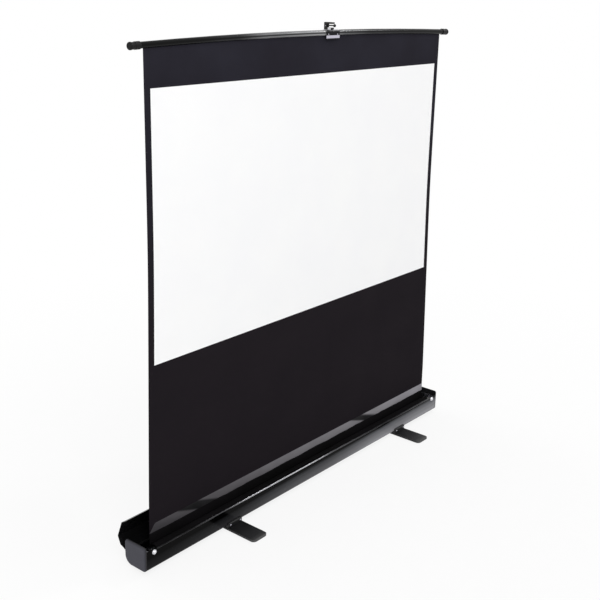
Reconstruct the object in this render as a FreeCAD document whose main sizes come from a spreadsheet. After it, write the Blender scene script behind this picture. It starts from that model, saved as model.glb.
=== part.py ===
"""Floor-standing pull-up projection screen: case, spring roller, lifting screen, mast, lid and feet.

Frame: +X to the right seen from the front, +Y to the back, +Z up, floor at z = 0, millimetres.
"""
import FreeCAD, Part
import math
import os
import re
import Sketcher

SIZES = {
    # Screen cloth: white face, black border and the glossy leader above the case
    "cloth_inset": 90,
    "white_height": 1046,
    "top_border": 151,
    "side_border": 30,
    "fabric_thick": 0.5,
    "face_thick": 0.2,
    "leader_bottom": 128,
    "leader_height": 44,
    "leader_thick": 0.3,
    # Top bar, drawn up into a slight bow by the mast
    "bar_overhang": 40,
    "bar_radius": 12,
    "bar_wall": 1.5,
    "bar_bow": 18,
    "bar_end_height": 2029,
    "slot_clear": 0.4,
    "fabric_tuck": 6,
    "bar_cap_radius": 14.5,
    "bar_cap_neck": 13.2,
    "bar_cap_length": 47,
    "bar_cap_sleeve": 23,
    "bar_cap_lip": 8,
    "bar_cap_rounding": 5,
    # Hanger strap on the bar
    "hanger_width": 90,
    "hanger_sheet": 1.6,
    "hanger_gap": 0.4,
    "hanger_front_drop": 28,
    "hanger_back_drop": 12,
    "bridge_depth": 16,
    "bridge_gap": 0.5,
    "rivet_radius": 3.5,
    "rivet_proud": 1.8,
    "rivet_drop": 7,
    "rivet_spread": 62,
    # Case
    "case_length": 2100,
    "case_depth": 120,
    "case_height": 105,
    "case_wall": 2.5,
    "bottom_radius": 38,
    "front_bottom_radius": 14,
    "front_wall_height": 87,
    "back_wall_height": 41,
    "cap_thick": 10,
    "cap_rim": 8,
    "cap_front_radius": 10,
    "cap_back_radius": 14,
    "cap_spigot": 12,
    "cap_spigot_height": 77,
    "bead_height": 7,
    "bead_proud": 2.5,
    "fit": 0.1,
    "joint_gap": 0.3,
    # Lid catches at the ends of the bead
    "catch_inset": 49,
    "catch_drop": 10,
    "catch_radius": 8,
    "catch_flange": 11,
    "catch_flange_thick": 3,
    "catch_dome": 5,
    "catch_stem": 16,
    "catch_sleeve": 1.5,
    "catch_sleeve_length": 10,
    # Lid, drawn closed and swung open about its hinge
    "lid_open_angle": 70,
    "lid_wall": 2.5,
    "lid_back_rise": 34,
    "lid_top_rise": 60,
    "lid_crown_back": 34,
    "lid_brow_front": 40,
    "lid_nose_gap": 2,
    "lid_rounding": 12,
    "lid_edge_gap": 4,
    "hinge_radius": 4,
    "hinge_pin_radius": 2,
    "hinge_leaf": 2,
    "hinge_leaf_height": 8,
    "hinge_stand": 0.5,
    "hinge_lift": 3,
    "knuckle_gap": 0.15,
    # Roller
    "roller_height": 70,
    "roller_radius": 19,
    "roller_wall": 1.5,
    "roller_overhang": 40,
    "roll_radius": 24,
    "plug_length": 30,
    "plug_flange": 3,
    "shaft_radius": 6,
    "shaft_length": 540,
    "spring_length": 420,
    "spring_thick": 5,
    "spring_gap": 0.5,
    "bracket_sheet": 3,
    "bracket_margin": 20,
    "bush_wall": 3,
    "bush_length": 8,
    "pin_grip": 24,
    "bracket_screw": 2.5,
    "bracket_screw_head": 4.5,
    "bracket_screw_proud": 2.5,
    "bracket_screw_depth": 8,
    "bracket_screw_rise": 14,
    # Mast behind the cloth
    "mast_share": 0.045,
    "mast_back": 18,
    "mast_radius": 12.5,
    "mast_wall": 1.5,
    "mast_foot_height": 34,
    "mast_lower_share": 0.5325,
    "mast_upper_radius": 10,
    "mast_overlap": 90,
    "mast_head_drop": 28.8,
    "glide_length": 10,
    "glide_spigot": 18,
    "base_height": 19.8,
    "base_sheet": 3,
    "base_width": 44,
    "base_cheek_height": 45,
    "base_gap": 0.5,
    "base_pin_height": 48,
    "base_pin_radius": 4,
    "base_pin_head": 7,
    "base_pin_proud": 2.5,
    # Clamp collar on the mast
    "collar_radius": 16.5,
    "collar_height": 38,
    "collar_cap": 4,
    "collar_ear_gap": 7,
    "collar_ear": 4,
    "collar_ear_margin": 6,
    "collar_pin_radius": 2.5,
    "collar_pin_drop": 16,
    "lever_hub": 5,
    "lever_length": 62,
    "lever_thick": 5,
    "lever_paddle": 16,
    "lever_neck": 14,
    # Hook on the mast head
    "socket_radius": 13,
    "socket_length": 37,
    "socket_roof": 4,
    "hook_width": 18,
    "hook_front": 16,
    "hook_depth": 14,
    "hook_rise": 43,
    "arm_thick": 7,
    "arm_reach": 30,
    "tongue_thick": 5,
    "tongue_reach": 26,
    "hook_rounding": 3,
    "lever_slot": 7,
    "hook_pin_radius": 2,
    "hook_pin_inset": 7,
    "hook_lever_thick": 5,
    "hook_lever_hub": 4.5,
    "hook_lever_reach": 43,
    "hook_lever_rise": 1.5,
    "ball_radius": 6.5,
    # Feet and the saddles that carry the case
    "foot_centre_share": 0.034,
    "foot_spread_share": 0.59,
    "foot_length": 430,
    "foot_width": 88,
    "foot_thick": 8,
    "foot_corner": 18,
    "foot_tip": 5,
    "pad_thick": 3,
    "pad_radius": 15,
    "pad_inset": 38,
    "washer_thick": 1,
    "washer_radius": 22,
    "bolt_radius": 8,
    "bolt_head_radius": 13,
    "bolt_head_thick": 5,
    "bolt_recess": 1,
    "saddle_web": 3,
    "saddle_width": 84,
    "saddle_overhang": 10,
    "saddle_height": 22,
    "saddle_rounding": 6,
    "saddle_screw_head": 5,
    "saddle_screw_proud": 2.5,
    "saddle_screw_spread": 60,
    # Carry handle on the back wall
    "handle_length": 150,
    "handle_height": 34,
    "handle_depth": 22,
    "handle_post": 16,
    "handle_bar": 11,
    "handle_shoulder": 14,
    # One overrun for every cut
    "overrun": 5,
}

doc = FreeCAD.newDocument("projection_screen")
sheet = doc.addObject("Spreadsheet::Sheet", "sizes")
for row, (name, value) in enumerate(SIZES.items(), start=1):
    sheet.set(f"A{row}", name)
    sheet.set(f"B{row}", str(value))
    sheet.setAlias(f"B{row}", name)
doc.recompute()

HALF_SHARE = 0.5
SAME_MM = 1e-3
WORD = re.compile(r"[a-z][a-z_0-9]*")
PARTS = []

# Places that several pieces share, as formulas of the sheet
FABRIC_WIDTH = "(case_length - 2 * cloth_inset)"
WHITE_WIDTH = f"({FABRIC_WIDTH} - 2 * side_border)"
WHITE_BOTTOM = "(bar_end_height - top_border - white_height)"
CASE_BOTTOM = "(pad_thick + foot_thick + washer_thick + saddle_web)"
CASE_TOP = f"({CASE_BOTTOM} + case_height)"
CASE_BACK = "(case_depth / 2)"
SHELL_HALF = "(case_length / 2 - cap_thick)"
BACK_WALL_TOP = f"({CASE_BOTTOM} + back_wall_height)"
FRONT_WALL_TOP = f"({CASE_BOTTOM} + front_wall_height)"
BEAD_Z = f"({FRONT_WALL_TOP} - bead_height / 2)"
FOOT_TOP = "(pad_thick + foot_thick)"
BAR_HALF = f"({FABRIC_WIDTH} / 2 + bar_overhang)"
BOW_RADIUS = f"(({BAR_HALF} * {BAR_HALF} + bar_bow * bar_bow) / (2 * bar_bow))"
BOW_ANGLE = f"(asin({BAR_HALF} / {BOW_RADIUS}) / 1 deg)"
BOW_CENTRE = f"(bar_end_height + bar_bow - {BOW_RADIUS})"
MAST_X = "(mast_share * case_length)"
HANG_Z = f"({BOW_CENTRE} + sqrt({BOW_RADIUS} * {BOW_RADIUS} - {MAST_X} * {MAST_X}))"
MAST_UPPER_TOP = f"({HANG_Z} - mast_head_drop)"
MAST_LOWER_TOP = f"(mast_lower_share * {HANG_Z})"
MAST_UPPER_BOTTOM = f"({MAST_LOWER_TOP} - mast_overlap)"
STRAP_RADIUS = "(bar_radius + hanger_gap + hanger_sheet)"
ROLLER_HALF = f"({FABRIC_WIDTH} / 2 + roller_overhang)"
ROLLER_Y = "(-(roll_radius + fabric_thick / 2 + joint_gap))"
TONGUE_Z = f"({HANG_Z} + {STRAP_RADIUS} + bridge_gap)"
HINGE_Y = f"({CASE_BACK} + hinge_radius + hinge_stand)"
HINGE_Z = f"({BACK_WALL_TOP} + hinge_lift)"
SIDES = {"left": "-1", "right": "1"}


def number(formula):
    """Value of a formula of the sheet."""
    return float(sheet.evalExpression(formula))


def bound(formula):
    """The formula as another object writes it, with the sheet's name before each size."""
    return WORD.sub(lambda word: f"sizes.{word[0]}" if word[0] in SIZES else word[0], formula)


def drive(thing, prop, formula):
    """Bind one property to a formula of the sheet."""
    thing.setExpression(prop, bound(formula))


def new_body(label, place=("0", "0", "0"), axis=None, angle="0"):
    """A named sub-part with its place, and a turn about one axis where it has one."""
    body = doc.addObject("PartDesign::Body", label)
    body.Label = label
    if axis is not None:
        body.Placement = FreeCAD.Placement(FreeCAD.Vector(), FreeCAD.Rotation(axis, 1))
        drive(body, ".Placement.Rotation.Angle", f"({angle}) * 1 deg")
    for letter, formula in zip("xyz", place):
        drive(body, f".Placement.Base.{letter}", formula)
    PARTS.append(body)
    return body


def new_sketch(body, plane):
    """An empty sketch on one of the body's own origin planes."""
    profile = body.newObject("Sketcher::SketchObject", "profile")
    datum = [feature for feature in body.Origin.OriginFeatures if feature.Role == plane][0]
    profile.AttachmentSupport = [(datum, "")]
    profile.MapMode = "FlatFace"
    return profile


def limit(profile, kind, *rest, formula):
    """Add a dimension to a sketch and bind it."""
    index = profile.addConstraint(Sketcher.Constraint(kind, *rest, number(formula)))
    drive(profile, f"Constraints[{index}]", formula)


def spot_of(corner):
    """Sketch point of a corner given by two formulas."""
    return FreeCAD.Vector(number(corner[0]), number(corner[1]), 0)


def arc_between(start, end, radius):
    """Minor arc from start to end; a positive radius has its centre on the left."""
    chord = end - start
    left = FreeCAD.Vector(-chord.y, chord.x, 0).normalize()
    reach = math.sqrt(max(0, radius * radius - chord.Length * chord.Length / 4))
    centre = (start + end) / 2 + left * math.copysign(reach, radius)
    first, last = (start, end) if radius > 0 else (end, start)
    angles = [math.atan2(spot.y - centre.y, spot.x - centre.x) for spot in (first, last)]
    circle = Part.Circle(centre, FreeCAD.Vector(0, 0, 1), abs(radius))
    return Part.ArcOfCircle(circle, *angles)


def draw_loop(profile, corners):
    """Closed outline; a corner with a third formula starts an arc of that radius."""
    spots = [spot_of(corner) for corner in corners]
    links = []
    for index, corner in enumerate(corners):
        start, end = spots[index], spots[(index + 1) % len(spots)]
        if len(corner) == 2:
            element = profile.addGeometry(Part.LineSegment(start, end))
            links.append((element, 1, 2))
            continue
        radius = number(corner[2])
        element = profile.addGeometry(arc_between(start, end, radius))
        links.append((element, 1, 2) if radius > 0 else (element, 2, 1))
    for index, (element, _, leave) in enumerate(links):
        after, enter, _ = links[(index + 1) % len(links)]
        profile.addConstraint(Sketcher.Constraint("Coincident", element, leave, after, enter))
    for (element, enter, _), corner in zip(links, corners):
        limit(profile, "DistanceX", element, enter, formula=corner[0])
        limit(profile, "DistanceY", element, enter, formula=corner[1])
        if len(corner) == 3:
            limit(profile, "Radius", element, formula=f"abs({corner[2]})")


def draw_circle(profile, centre, radius):
    """Circle of a bound radius at a bound centre."""
    circle = Part.Circle(spot_of(centre), FreeCAD.Vector(0, 0, 1), number(radius))
    element = profile.addGeometry(circle)
    limit(profile, "DistanceX", element, 3, formula=centre[0])
    limit(profile, "DistanceY", element, 3, formula=centre[1])
    limit(profile, "Radius", element, formula=radius)


def rectangle(low_u, low_v, high_u, high_v):
    """Corners of an upright rectangle."""
    return [(low_u, low_v), (high_u, low_v), (high_u, high_v), (low_u, high_v)]


def pad(body, plane, length, loops=(), circles=(), back=False, both=False):
    """Pad outlines off an origin plane, towards the positive axis unless back is set."""
    profile = new_sketch(body, plane)
    for corners in loops:
        draw_loop(profile, corners)
    for centre, radius in circles:
        draw_circle(profile, centre, radius)
    feature = body.newObject("PartDesign::Pad", "pad")
    feature.Profile = profile
    drive(feature, "Length", length)
    feature.Midplane = both
    feature.Reversed = back != (plane == "XZ_Plane")
    doc.recompute()
    return feature


def pocket(body, plane, length, loops=(), circles=(), back=False, both=False):
    """Cut outlines from an origin plane, towards the positive axis unless back is set."""
    volume = body.Shape.Volume
    profile = new_sketch(body, plane)
    for corners in loops:
        draw_loop(profile, corners)
    for centre, radius in circles:
        draw_circle(profile, centre, radius)
    feature = body.newObject("PartDesign::Pocket", "pocket")
    feature.Profile = profile
    drive(feature, "Length", length)
    feature.Midplane = both
    feature.Reversed = back == (plane == "XZ_Plane")
    doc.recompute()
    if body.Shape.Volume >= volume:
        raise RuntimeError(f"{body.Label}: a pocket cut nothing")
    return feature


def turn(body, corners):
    """Revolve a profile of (along, radius) corners about the body's own X axis."""
    profile = new_sketch(body, "XZ_Plane")
    draw_loop(profile, corners)
    feature = body.newObject("PartDesign::Revolution", "turned")
    feature.Profile = profile
    feature.ReferenceAxis = (profile, ["H_Axis"])
    feature.Angle = 360
    doc.recompute()
    return feature


def edges_along(body, letter, spots):
    """Names of straight edges along one axis through the given cross points."""
    others = [name for name in "xyz" if name != letter]
    names = []
    for index, edge in enumerate(body.Tip.Shape.Edges, start=1):
        box = edge.BoundBox
        spans = {"x": box.XLength, "y": box.YLength, "z": box.ZLength}
        centre = edge.CenterOfMass
        if max(spans[name] for name in others) > SAME_MM:
            continue
        for spot in spots:
            if all(abs(getattr(centre, name) - value) < SAME_MM for name, value in zip(others, spot)):
                names.append(f"Edge{index}")
                break
    return names


def dress(body, kind, size, names):
    """Round or bevel the named edges of the body's last feature."""
    base = body.Tip
    feature = body.newObject(f"PartDesign::{kind}", kind.lower())
    feature.Base = (base, names)
    drive(feature, "Radius" if kind == "Fillet" else "Size", size)
    doc.recompute()
    if "Invalid" in feature.State:
        raise RuntimeError(f"{body.Label}: {kind} of {size} failed on {names}")


def round_corners(body, letter, size, corners):
    """Fillet the edges that run along one axis through the given corners."""
    spots = [(number(first), number(second)) for first, second in corners]
    dress(body, "Fillet", size, edges_along(body, letter, spots))


def face_edges(body, letter, place):
    """Names of all edges that lie in the plane at one place along an axis."""
    names = []
    for index, edge in enumerate(body.Tip.Shape.Edges, start=1):
        box = edge.BoundBox
        low = getattr(box, f"{letter.upper()}Min")
        high = getattr(box, f"{letter.upper()}Max")
        if abs(low - place) < SAME_MM and abs(high - place) < SAME_MM:
            names.append(f"Edge{index}")
    return names


def group(label, shapes):
    """Several like solids under one name."""
    feature = doc.addObject("Part::Feature", label)
    feature.Label = label
    feature.Shape = Part.makeCompound(shapes)
    PARTS.append(feature)


def rod(place, axis, radius, length):
    """Round solid from a point along an axis, all given as formulas."""
    start = FreeCAD.Vector(*[number(formula) for formula in place])
    return Part.makeCylinder(number(radius), number(length), start, FreeCAD.Vector(*axis))


def dome(place, axis, radius, proud):
    """Round fastener head on the face at place; axis points out of the face."""
    out = FreeCAD.Vector(*axis)
    start = FreeCAD.Vector(*[number(formula) for formula in place])
    rise = number(proud)
    ball = (number(radius) * number(radius) + rise * rise) / (2 * rise)
    sphere = Part.makeSphere(ball, start - out * (ball - rise))
    return sphere.common(Part.makeCylinder(number(radius), rise, start, out))


# Case shell: an open trough, its front wall higher than the back one that carries the lid
INNER_FRONT = f"(-{CASE_BACK} + case_wall)"
INNER_BACK = f"({CASE_BACK} - case_wall)"
INNER_FLOOR = f"({CASE_BOTTOM} + case_wall)"
CATCH_X = "(case_length / 2 - catch_inset)"
CATCH_Z = f"({BEAD_Z} - catch_drop)"
shell = new_body("case_shell", (f"-{SHELL_HALF}", "0", "0"))
pad(shell, "YZ_Plane", f"2 * {SHELL_HALF}", loops=[[
    (f"-{CASE_BACK}", FRONT_WALL_TOP),
    (f"-{CASE_BACK}", CASE_BOTTOM),
    (CASE_BACK, CASE_BOTTOM),
    (CASE_BACK, BACK_WALL_TOP),
    (INNER_BACK, BACK_WALL_TOP),
    (INNER_BACK, INNER_FLOOR),
    (INNER_FRONT, INNER_FLOOR),
    (INNER_FRONT, FRONT_WALL_TOP),
]])
FRONT_CORNER = [(f"-{CASE_BACK}", CASE_BOTTOM)]
BACK_CORNER = [(CASE_BACK, CASE_BOTTOM)]
round_corners(shell, "x", "front_bottom_radius", FRONT_CORNER)
round_corners(shell, "x", "bottom_radius", BACK_CORNER)
round_corners(shell, "x", "front_bottom_radius - case_wall", [(INNER_FRONT, INNER_FLOOR)])
round_corners(shell, "x", "bottom_radius - case_wall", [(INNER_BACK, INNER_FLOOR)])
pocket(shell, "XZ_Plane", f"{CASE_BACK} + overrun", back=True, circles=[
    ((f"{SHELL_HALF} + {sign} * {CATCH_X}", CATCH_Z), "catch_radius + catch_sleeve + fit")
    for sign in SIDES.values()
])

# Bright bead along the front, between the two catches
BEAD_HALF = f"({CATCH_X} - catch_flange)"
BEAD_ARC = "((bead_height * bead_height / 4 + bead_proud * bead_proud) / (2 * bead_proud))"
bead = new_body("front_bead", (f"-{BEAD_HALF}", f"-{CASE_BACK}", BEAD_Z))
pad(bead, "YZ_Plane", f"2 * {BEAD_HALF}",
    loops=[[("0", "bead_height / 2", BEAD_ARC), ("0", "-bead_height / 2")]])

# End caps, with a rounded rim outside and a spigot inside the trough
SCREW_SPOTS = [(ROLLER_Y, f"roller_height + {sign} * bracket_screw_rise") for sign in SIDES.values()]
SPIGOT_FRONT = "(front_bottom_radius - case_wall - fit)"
SPIGOT_BACK = "(bottom_radius - case_wall - fit)"
SPIGOT_HALF = f"({INNER_BACK} - fit)"
SPIGOT_FLOOR = f"({INNER_FLOOR} + fit)"
SPIGOT = [
    (f"{SPIGOT_FRONT} - {SPIGOT_HALF}", SPIGOT_FLOOR),
    (f"{SPIGOT_HALF} - {SPIGOT_BACK}", SPIGOT_FLOOR, SPIGOT_BACK),
    (SPIGOT_HALF, f"{SPIGOT_FLOOR} + {SPIGOT_BACK}"),
    (SPIGOT_HALF, f"{CASE_BOTTOM} + cap_spigot_height"),
    (f"-{SPIGOT_HALF}", f"{CASE_BOTTOM} + cap_spigot_height"),
    (f"-{SPIGOT_HALF}", f"{SPIGOT_FLOOR} + {SPIGOT_FRONT}", SPIGOT_FRONT),
]
for side, sign in SIDES.items():
    cap = new_body(f"end_cap_{side}", (f"{sign} * {SHELL_HALF}", "0", "0"))
    pad(cap, "YZ_Plane", "cap_thick", back=side == "left",
        loops=[rectangle(f"-{CASE_BACK}", CASE_BOTTOM, CASE_BACK, CASE_TOP)])
    round_corners(cap, "x", "front_bottom_radius", FRONT_CORNER)
    round_corners(cap, "x", "bottom_radius", BACK_CORNER)
    round_corners(cap, "x", "cap_front_radius", [(f"-{CASE_BACK}", CASE_TOP)])
    round_corners(cap, "x", "cap_back_radius", [(CASE_BACK, CASE_TOP)])
    dress(cap, "Fillet", "cap_rim", face_edges(cap, "x", number(f"{sign} * cap_thick")))
    pad(cap, "YZ_Plane", "cap_spigot", back=side == "right", loops=[SPIGOT])
    pocket(cap, "YZ_Plane", "cap_spigot", back=side == "right",
           circles=[(spot, "bracket_screw + fit") for spot in SCREW_SPOTS])

# Catch buttons that free the lid, each in a flanged bush in the front wall
DOME_ARC = "((catch_radius * catch_radius + catch_dome * catch_dome) / (2 * catch_dome))"
for side, sign in SIDES.items():
    place = (f"{sign} * {CATCH_X}", f"-{CASE_BACK}", CATCH_Z)
    button = new_body(f"catch_button_{side}", place, FreeCAD.Vector(0, 0, 1), "-90")
    turn(button, [
        ("-catch_stem", "0"),
        ("catch_flange_thick + catch_dome", "0", DOME_ARC),
        ("catch_flange_thick", "catch_radius - fit"),
        ("-catch_stem", "catch_radius - fit"),
    ])
    bush = new_body(f"catch_bush_{side}", place, FreeCAD.Vector(0, 0, 1), "-90")
    turn(bush, [
        ("-catch_sleeve_length", "catch_radius"),
        ("catch_flange_thick", "catch_radius"),
        ("catch_flange_thick", "catch_radius + catch_sleeve"),
        ("0", "catch_flange"),
        ("0", "catch_radius + catch_sleeve"),
        ("-catch_sleeve_length", "catch_radius + catch_sleeve"),
    ])

# Lid: a hood of even wall, open below and at both ends, drawn closed and swung open
LID_BASE = "(lid_edge_gap - hinge_lift)"
LID_BACK = f"({CASE_BACK} - {HINGE_Y})"
LID_TOP = f"({LID_BASE} + lid_top_rise)"
LID_NOSE = f"({FRONT_WALL_TOP} + lid_nose_gap - {HINGE_Z})"
LID_CORNERS = [
    (LID_BACK, LID_BASE),
    (LID_BACK, f"{LID_BASE} + lid_back_rise"),
    (f"lid_crown_back - {HINGE_Y}", LID_TOP),
    (f"-lid_brow_front - {HINGE_Y}", LID_TOP),
    (f"-{CASE_BACK} - {HINGE_Y}", LID_NOSE),
]
X_AXIS = FreeCAD.Vector(1, 0, 0)
LID_PLACE = (f"-{SHELL_HALF}", HINGE_Y, HINGE_Z)
lid = new_body("lid_shell", LID_PLACE, X_AXIS, "-lid_open_angle")
pad(lid, "YZ_Plane", f"2 * {SHELL_HALF}", loops=[LID_CORNERS])
round_corners(lid, "x", "lid_rounding", LID_CORNERS[1:4])
open_faces = [
    f"Face{index}" for index, face in enumerate(lid.Tip.Shape.Faces, start=1)
    if abs(face.normalAt(0, 0).x) > HALF_SHARE or face.normalAt(0, 0).z < -HALF_SHARE
]
rounded = lid.Tip
skin = lid.newObject("PartDesign::Thickness", "skin")
skin.Base = (rounded, open_faces)
drive(skin, "Value", "lid_wall")
skin.Reversed = True
doc.recompute()

# Carry handle: a moulded arch on the lid's flat top
HANDLE_Y = f"((lid_crown_back - lid_brow_front) / 2 - {HINGE_Y})"
handle = new_body("lid_handle", ("0", HINGE_Y, HINGE_Z), X_AXIS, "-lid_open_angle")
pad(handle, "YZ_Plane", "handle_length", both=True, loops=[
    rectangle(f"{HANDLE_Y} - handle_depth / 2", LID_TOP, f"{HANDLE_Y} + handle_depth / 2",
              f"{LID_TOP} + handle_height")
])
handle_ends = [(f"{sign} * handle_length / 2", f"{LID_TOP} + handle_height") for sign in SIDES.values()]
round_corners(handle, "y", "handle_shoulder", handle_ends)
pocket(handle, "XZ_Plane", f"{CASE_BACK} + {HINGE_Y} + overrun", back=True, loops=[
    rectangle("handle_post - handle_length / 2", f"{LID_TOP} - overrun",
              "handle_length / 2 - handle_post", f"{LID_TOP} + handle_height - handle_bar")
])


# Lid hinge in four lengths, end to end
HINGE_WIDTH = f"({SHELL_HALF} / 2 - 2 * joint_gap)"


def hinge_leaf(turned, thirds):
    """One leaf with its knuckles about the hinge axis, below the axis or above it."""
    width, radius, leaf = number(HINGE_WIDTH), number("hinge_radius"), number("hinge_leaf")
    gap, stand = number("knuckle_gap"), number("hinge_stand")
    clear = radius + stand
    low = clear if turned else -clear - number("hinge_leaf_height")
    solid = Part.makeBox(width, leaf, number("hinge_leaf_height"), FreeCAD.Vector(-width / 2, -clear, low))
    for third in thirds:
        start = -width / 2 + third * width / 3 + gap
        length = width / 3 - 2 * gap
        corner = FreeCAD.Vector(start, -clear, 0 if turned else -clear)
        solid = solid.fuse(Part.makeBox(length, leaf, clear, corner))
        solid = solid.fuse(Part.makeCylinder(radius, length, FreeCAD.Vector(start, 0, 0), X_AXIS))
    bore = number("hinge_pin_radius") + number("fit")
    solid = solid.cut(Part.makeCylinder(bore, width, FreeCAD.Vector(-width / 2, 0, 0), X_AXIS))
    if turned:
        solid.rotate(FreeCAD.Vector(), X_AXIS, -number("lid_open_angle"))
    return solid


def at_hinges(solid):
    """Copies of a solid, end to end along the lid."""
    copies = []
    for quarter in ("-3", "-1", "1", "3"):
        place = (f"{quarter} * {SHELL_HALF} / 4", HINGE_Y, HINGE_Z)
        copies.append(solid.translated(FreeCAD.Vector(*(number(part) for part in place))))
    return copies


group("hinge_case_leaves", at_hinges(hinge_leaf(False, (0, 2))))
group("hinge_lid_leaves", at_hinges(hinge_leaf(True, (1,))))
group("hinge_pins", at_hinges(rod((f"-{HINGE_WIDTH} / 2", "0", "0"), (1, 0, 0),
                                  "hinge_pin_radius", HINGE_WIDTH)))


def tube_x(label, start, length, outer, bore):
    """Round piece on the roller's axis; a bore of zero leaves it solid."""
    body = new_body(label, (start, ROLLER_Y, "roller_height"))
    circles = [(("0", "0"), outer)]
    if bore != "0":
        circles.append((("0", "0"), bore))
    pad(body, "YZ_Plane", length, circles=circles)
    return body


# Roller: tube with its last turns of cloth, plugs, spring and shaft
BRACKET_X = f"({SHELL_HALF} - cap_spigot - bracket_sheet)"
PLUG_RADIUS = "(roller_radius - roller_wall - fit)"
BRACKET_HALF = "(shaft_radius + bracket_margin)"
tube_x("roller_tube", f"-{ROLLER_HALF}", f"2 * {ROLLER_HALF}", "roller_radius", "roller_radius - roller_wall")
tube_x("fabric_roll", f"-{FABRIC_WIDTH} / 2", FABRIC_WIDTH, "roll_radius", "roller_radius + fit")
for side, sign in SIDES.items():
    plug = new_body(f"roller_plug_{side}", (f"{sign} * {ROLLER_HALF}", ROLLER_Y, "roller_height"))
    bore = [(("0", "0"), "shaft_radius + fit / 2")]
    pad(plug, "YZ_Plane", "plug_flange", back=side == "left", circles=bore + [(("0", "0"), "roller_radius")])
    pad(plug, "YZ_Plane", "plug_length", back=side == "right", circles=bore + [(("0", "0"), PLUG_RADIUS)])
    start = BRACKET_X if side == "right" else f"-{BRACKET_X} - bracket_sheet"
    plate = new_body(f"roller_bracket_{side}", (start, ROLLER_Y, "roller_height"))
    hole = "shaft_radius + bush_wall + fit" if side == "right" else "shaft_radius + fit"
    pad(plate, "YZ_Plane", "bracket_sheet",
        loops=[rectangle(f"-{BRACKET_HALF}", f"-{BRACKET_HALF}", BRACKET_HALF, BRACKET_HALF)],
        circles=[(("0", "0"), hole)] + [(("0", f"{way} * bracket_screw_rise"), "bracket_screw + fit")
                                        for way in SIDES.values()])
tube_x("spring_shaft", f"-{BRACKET_X} - bracket_sheet", "shaft_length", "shaft_radius", "0")
tube_x("torsion_spring", f"-{ROLLER_HALF} + plug_length", "spring_length",
       "shaft_radius + spring_gap + spring_thick", "shaft_radius + spring_gap")
tube_x("idler_pin", f"{ROLLER_HALF} - pin_grip", f"{BRACKET_X} + bracket_sheet - {ROLLER_HALF} + pin_grip",
       "shaft_radius", "0")
tube_x("idler_bush", f"{BRACKET_X} + bracket_sheet - bush_length", "bush_length",
       "shaft_radius + bush_wall", "shaft_radius + fit / 2")
screws = []
for side, sign in SIDES.items():
    out = (-1, 0, 0) if side == "right" else (1, 0, 0)
    inward = (1, 0, 0) if side == "right" else (-1, 0, 0)
    for spot in SCREW_SPOTS:
        place = (f"{sign} * {BRACKET_X}", *spot)
        head = rod(place, out, "bracket_screw_head", "bracket_screw_proud")
        screws.append(head.fuse(rod(place, inward, "bracket_screw", "bracket_screw_depth")))
group("bracket_screws", screws)

# Screen cloth, from the roll up into the bar's slot
FABRIC_TOP = f"({BOW_CENTRE} + sqrt(pow({BOW_RADIUS} - fabric_tuck; 2) - pow({FABRIC_WIDTH} / 2; 2)))"
cloth = new_body("screen_fabric", ("0", "-fabric_thick / 2", "0"))
pad(cloth, "XZ_Plane", "fabric_thick", loops=[[
    (f"-{FABRIC_WIDTH} / 2", "roller_height"),
    (f"{FABRIC_WIDTH} / 2", "roller_height"),
    (f"{FABRIC_WIDTH} / 2", FABRIC_TOP, f"{BOW_RADIUS} - fabric_tuck"),
    (f"-{FABRIC_WIDTH} / 2", FABRIC_TOP),
]])
face = new_body("viewing_surface", ("0", "-fabric_thick / 2 - face_thick", WHITE_BOTTOM))
white = rectangle(f"-{WHITE_WIDTH} / 2", "0", f"{WHITE_WIDTH} / 2", "white_height")
pad(face, "XZ_Plane", "face_thick", loops=[white])
leader = new_body("leader_strip", ("0", "-fabric_thick / 2 - leader_thick", "leader_bottom"))
pad(leader, "XZ_Plane", "leader_thick",
    loops=[rectangle(f"-{FABRIC_WIDTH} / 2", "0", f"{FABRIC_WIDTH} / 2", "leader_height")])

# Top bar: a slotted tube swept along its bow
SLOT_HALF = "(fabric_thick / 2 + slot_clear)"
bar = new_body("top_bar", ("0", "0", BOW_CENTRE))
for kind, loops, circles in (
    ("Revolution", [], [(("0", BOW_RADIUS), "bar_radius"), (("0", BOW_RADIUS), "bar_radius - bar_wall")]),
    ("Groove", [rectangle(f"-{SLOT_HALF}", f"{BOW_RADIUS} - bar_radius - overrun",
                          SLOT_HALF, f"{BOW_RADIUS} - bar_radius + 2 * bar_wall")], []),
):
    profile = new_sketch(bar, "YZ_Plane")
    for corners in loops:
        draw_loop(profile, corners)
    for centre, radius in circles:
        draw_circle(profile, centre, radius)
    swept = bar.newObject(f"PartDesign::{kind}", kind.lower())
    swept.Profile = profile
    swept.ReferenceAxis = (profile, ["H_Axis"])
    swept.Midplane = True
    drive(swept, "Angle", f"2 * {BOW_ANGLE} * 1 deg")
    doc.recompute()

# Bar end caps, tipped with the ends of the bow
Y_AXIS = FreeCAD.Vector(0, 1, 0)
for side, sign in SIDES.items():
    angle = BOW_ANGLE if side == "right" else f"180 - {BOW_ANGLE}"
    end = new_body(f"bar_end_cap_{side}", (f"{sign} * {BAR_HALF}", "0", "bar_end_height"), Y_AXIS, angle)
    cap_end = "(bar_cap_length - bar_cap_sleeve)"
    turn(end, [
        ("-bar_cap_sleeve", "bar_radius + fit"),
        ("fit", "bar_radius + fit"),
        ("fit", "0"),
        (cap_end, "0"),
        (cap_end, "bar_cap_radius - bar_cap_rounding", "bar_cap_rounding"),
        (f"{cap_end} - bar_cap_rounding", "bar_cap_radius"),
        (f"{cap_end} - bar_cap_lip", "bar_cap_radius"),
        (f"{cap_end} - bar_cap_lip - bar_cap_radius + bar_cap_neck", "bar_cap_neck"),
        ("fit", "bar_cap_neck"),
        ("fit - bar_cap_radius + bar_cap_neck", "bar_cap_radius"),
        ("-bar_cap_sleeve", "bar_cap_radius"),
    ])

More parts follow.
